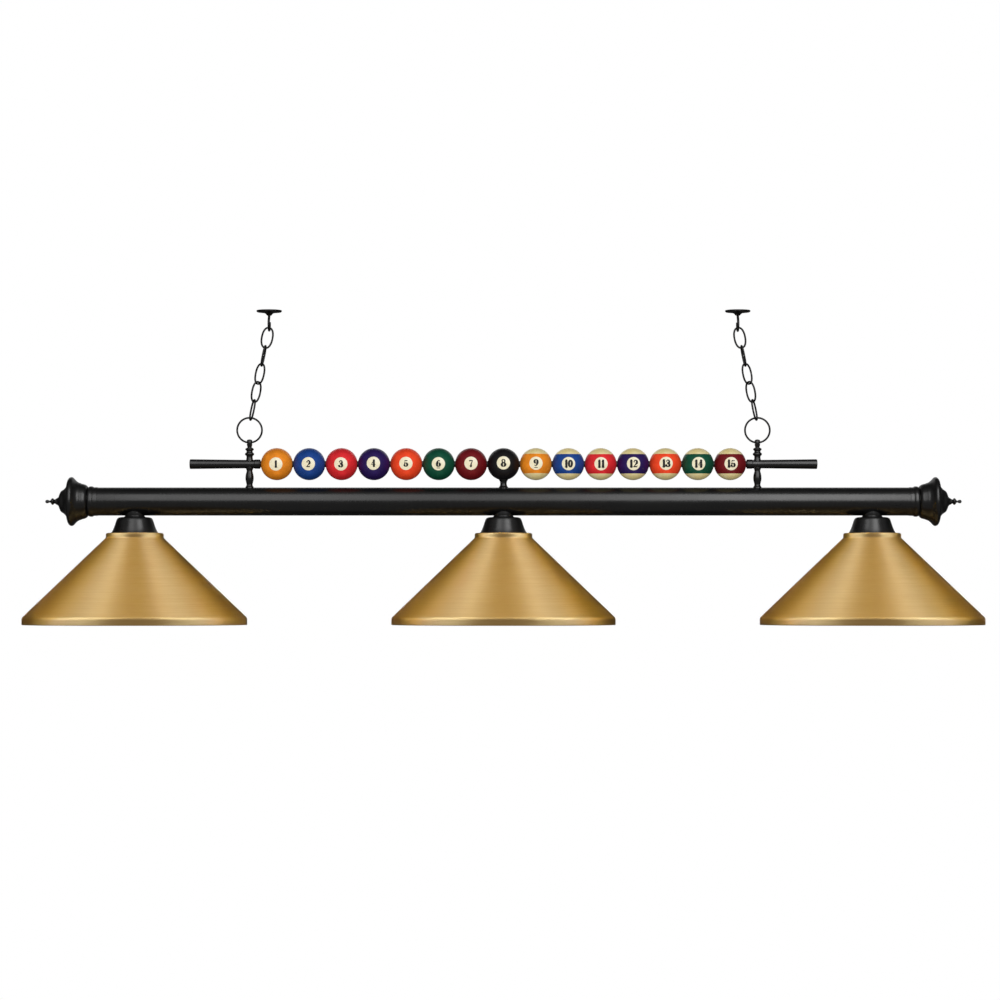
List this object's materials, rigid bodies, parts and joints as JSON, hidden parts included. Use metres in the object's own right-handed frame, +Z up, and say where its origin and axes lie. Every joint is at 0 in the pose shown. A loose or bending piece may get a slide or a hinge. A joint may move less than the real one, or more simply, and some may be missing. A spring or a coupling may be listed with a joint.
{
  "type": "pool table lamp",
  "caption": "Hanging bar light for a billiard table: a black tubular beam with conical brass shades below, a rod of numbered billiard balls above, and oval-link chains.",
  "frame": {"origin": "in the ceiling plane, midway between the two ceiling hooks", "axes": "+X along the beam towards the right-hand end as seen from the front, +Y to the back, +Z up. The front, with the ball numbers, faces -Y"},
  "size_m": [1.524, 0.3556, 0.4985],
  "materials": {
    "matte_black": "matte",
    "chain_black": "satin",
    "satin_gold": "brushed",
    "phenolic": "moulded",
    "lamp_glass": "frosted",
    "steel_rod": "blackened",
    "wire_cover": "matte",
    "ball_yellow": "polished",
    "ball_blue": "polished",
    "ball_red": "polished",
    "ball_purple": "polished",
    "ball_orange": "polished",
    "ball_green": "polished",
    "ball_maroon": "polished",
    "ball_black": "polished"
  },
  "bodies": {
    "ceiling_hooks": {"ceiling_hook_left": "chain_black", "ceiling_hook_right": "chain_black"},
    "link_1_left": {"chain_link_1_left": "chain_black"},
    "link_2_left": {"chain_link_2_left": "chain_black"},
    "link_3_left": {"chain_link_3_left": "chain_black"},
    "link_4_left": {"chain_link_4_left": "chain_black"},
    "link_5_left": {"chain_link_5_left": "chain_black"},
    "hanging_ring_left": {"ring_left": "chain_black"},
    "link_1_right": {"chain_link_1_right": "chain_black"},
    "link_2_right": {"chain_link_2_right": "chain_black"},
    "link_3_right": {"chain_link_3_right": "chain_black"},
    "link_4_right": {"chain_link_4_right": "chain_black"},
    "link_5_right": {"chain_link_5_right": "chain_black"},
    "hanging_ring_right": {"ring_right": "chain_black"},
    "lamp_beam": {"beam_tube": "matte_black", "end_collar_left": "matte_black", "end_cap_left": "matte_black", "end_finial_left": "matte_black", "cue_butt_left": "matte_black", "post_eye_left": "matte_black", "post_lower_left": "matte_black", "end_collar_right": "matte_black", "end_cap_right": "matte_black", "end_finial_right": "matte_black", "cue_butt_right": "matte_black", "post_eye_right": "matte_black", "post_lower_right": "matte_black", "post_centre": "matte_black", "socket_cup_left": "matte_black", "lampholder_left": "phenolic", "shade_left": "satin_gold", "shade_ring_nut_left": "phenolic", "socket_cup_centre": "matte_black", "lampholder_centre": "phenolic", "shade_centre": "satin_gold", "shade_ring_nut_centre": "phenolic", "socket_cup_right": "matte_black", "lampholder_right": "phenolic", "shade_right": "satin_gold", "shade_ring_nut_right": "phenolic", "ball_rod": "steel_rod", "wiring_harness": "wire_cover", "ball_08": "ball_black"},
    "turning_ball_01": {"ball_01": "ball_yellow"},
    "turning_ball_02": {"ball_02": "ball_blue"},
    "turning_ball_03": {"ball_03": "ball_red"},
    "turning_ball_04": {"ball_04": "ball_purple"},
    "turning_ball_05": {"ball_05": "ball_orange"},
    "turning_ball_06": {"ball_06": "ball_green"},
    "turning_ball_07": {"ball_07": "ball_maroon"},
    "turning_ball_09": {"ball_09": "ball_yellow"},
    "turning_ball_10": {"ball_10": "ball_blue"},
    "turning_ball_11": {"ball_11": "ball_red"},
    "turning_ball_12": {"ball_12": "ball_purple"},
    "turning_ball_13": {"ball_13": "ball_orange"},
    "turning_ball_14": {"ball_14": "ball_green"},
    "turning_ball_15": {"ball_15": "ball_maroon"},
    "screwed_bulb_left": {"bulb_left": "lamp_glass"},
    "screwed_bulb_centre": {"bulb_centre": "lamp_glass"},
    "screwed_bulb_right": {"bulb_right": "lamp_glass"}
  },
  "joints": [
    {"name": "sway", "type": "hinge", "parent": "ceiling_hooks", "child": "link_1_left", "pos_m": [-0.37119, 0, -0.02931], "axis": [0, 1, 0], "range_deg": [-8, 8]},
    {"name": "chain_bend_1_left", "type": "hinge", "parent": "link_1_left", "child": "link_2_left", "pos_m": [-0.37733, 0, -0.05784], "axis": [1, 0, 0], "range_deg": [-8, 8]},
    {"name": "chain_bend_2_left", "type": "hinge", "parent": "link_2_left", "child": "link_3_left", "pos_m": [-0.38315, 0, -0.0864], "axis": [1, 0, 0], "range_deg": [-8, 8]},
    {"name": "chain_bend_3_left", "type": "hinge", "parent": "link_3_left", "child": "link_4_left", "pos_m": [-0.38896, 0, -0.11497], "axis": [1, 0, 0], "range_deg": [-8, 8]},
    {"name": "chain_bend_4_left", "type": "hinge", "parent": "link_4_left", "child": "link_5_left", "pos_m": [-0.39477, 0, -0.14353], "axis": [1, 0, 0], "range_deg": [-8, 8]},
    {"name": "ring_swing_left", "type": "hinge", "parent": "link_5_left", "child": "hanging_ring_left", "pos_m": [-0.40058, 0, -0.1721], "axis": [1, 0, 0], "range_deg": [-8, 8]},
    {"name": "beam_level", "type": "hinge", "parent": "hanging_ring_left", "child": "lamp_beam", "pos_m": [-0.4023, 0, -0.20965], "axis": [0, 1, 0], "range_deg": [-8, 8]},
    {"name": "ring_level_right", "type": "hinge", "parent": "lamp_beam", "child": "hanging_ring_right", "pos_m": [0.4023, 0, -0.20965], "axis": [0, 1, 0], "range_deg": [-8, 8]},
    {"name": "ring_swing_right", "type": "hinge", "parent": "hanging_ring_right", "child": "link_5_right", "pos_m": [0.40058, 0, -0.1721], "axis": [1, 0, 0], "range_deg": [-8, 8]},
    {"name": "chain_bend_4_right", "type": "hinge", "parent": "link_5_right", "child": "link_4_right", "pos_m": [0.39477, 0, -0.14353], "axis": [1, 0, 0], "range_deg": [-8, 8]},
    {"name": "chain_bend_3_right", "type": "hinge", "parent": "link_4_right", "child": "link_3_right", "pos_m": [0.38896, 0, -0.11497], "axis": [1, 0, 0], "range_deg": [-8, 8]},
    {"name": "chain_bend_2_right", "type": "hinge", "parent": "link_3_right", "child": "link_2_right", "pos_m": [0.38315, 0, -0.0864], "axis": [1, 0, 0], "range_deg": [-8, 8]},
    {"name": "chain_bend_1_right", "type": "hinge", "parent": "link_2_right", "child": "link_1_right", "pos_m": [0.37733, 0, -0.05784], "axis": [1, 0, 0], "range_deg": [-8, 8]},
    {"name": "ball_01_turn", "type": "hinge", "parent": "lamp_beam", "child": "turning_ball_01", "pos_m": [-0.3591, 0, -0.2437], "axis": [1, 0, 0], "continuous": true},
    {"name": "ball_02_turn", "type": "hinge", "parent": "lamp_beam", "child": "turning_ball_02", "pos_m": [-0.3078, 0, -0.2437], "axis": [1, 0, 0], "continuous": true},
    {"name": "ball_03_turn", "type": "hinge", "parent": "lamp_beam", "child": "turning_ball_03", "pos_m": [-0.2565, 0, -0.2437], "axis": [1, 0, 0], "continuous": true},
    {"name": "ball_04_turn", "type": "hinge", "parent": "lamp_beam", "child": "turning_ball_04", "pos_m": [-0.2052, 0, -0.2437], "axis": [1, 0, 0], "continuous": true},
    {"name": "ball_05_turn", "type": "hinge", "parent": "lamp_beam", "child": "turning_ball_05", "pos_m": [-0.1539, 0, -0.2437], "axis": [1, 0, 0], "continuous": true},
    {"name": "ball_06_turn", "type": "hinge", "parent": "lamp_beam", "child": "turning_ball_06", "pos_m": [-0.1026, 0, -0.2437], "axis": [1, 0, 0], "continuous": true},
    {"name": "ball_07_turn", "type": "hinge", "parent": "lamp_beam", "child": "turning_ball_07", "pos_m": [-0.0513, 0, -0.2437], "axis": [1, 0, 0], "continuous": true},
    {"name": "ball_09_turn", "type": "hinge", "parent": "lamp_beam", "child": "turning_ball_09", "pos_m": [0.0513, 0, -0.2437], "axis": [1, 0, 0], "continuous": true},
    {"name": "ball_10_turn", "type": "hinge", "parent": "lamp_beam", "child": "turning_ball_10", "pos_m": [0.1026, 0, -0.2437], "axis": [1, 0, 0], "continuous": true},
    {"name": "ball_11_turn", "type": "hinge", "parent": "lamp_beam", "child": "turning_ball_11", "pos_m": [0.1539, 0, -0.2437], "axis": [1, 0, 0], "continuous": true},
    {"name": "ball_12_turn", "type": "hinge", "parent": "lamp_beam", "child": "turning_ball_12", "pos_m": [0.2052, 0, -0.2437], "axis": [1, 0, 0], "continuous": true},
    {"name": "ball_13_turn", "type": "hinge", "parent": "lamp_beam", "child": "turning_ball_13", "pos_m": [0.2565, 0, -0.2437], "axis": [1, 0, 0], "continuous": true},
    {"name": "ball_14_turn", "type": "hinge", "parent": "lamp_beam", "child": "turning_ball_14", "pos_m": [0.3078, 0, -0.2437], "axis": [1, 0, 0], "continuous": true},
    {"name": "ball_15_turn", "type": "hinge", "parent": "lamp_beam", "child": "turning_ball_15", "pos_m": [0.3591, 0, -0.2437], "axis": [1, 0, 0], "continuous": true},
    {"name": "bulb_left_screw", "type": "hinge", "parent": "lamp_beam", "child": "screwed_bulb_left", "pos_m": [-0.5842, 0, -0.375], "axis": [0, 0, 1], "range_deg": [-1260, 0]},
    {"name": "bulb_centre_screw", "type": "hinge", "parent": "lamp_beam", "child": "screwed_bulb_centre", "pos_m": [0, 0, -0.375], "axis": [0, 0, 1], "range_deg": [-1260, 0]},
    {"name": "bulb_right_screw", "type": "hinge", "parent": "lamp_beam", "child": "screwed_bulb_right", "pos_m": [0.5842, 0, -0.375], "axis": [0, 0, 1], "range_deg": [-1260, 0]}
  ],
  "couplings": [
    {"joint": "beam_level", "follows": "sway", "ratio": -0.92266},
    {"joint": "ring_level_right", "follows": "sway", "ratio": 0.92266},
    {"joint": "chain_bend_1_right", "follows": "chain_bend_1_left", "ratio": -1},
    {"joint": "chain_bend_2_right", "follows": "chain_bend_2_left", "ratio": -1},
    {"joint": "chain_bend_3_right", "follows": "chain_bend_3_left", "ratio": -1},
    {"joint": "chain_bend_4_right", "follows": "chain_bend_4_left", "ratio": -1},
    {"joint": "ring_swing_right", "follows": "ring_swing_left", "ratio": -1}
  ]
}
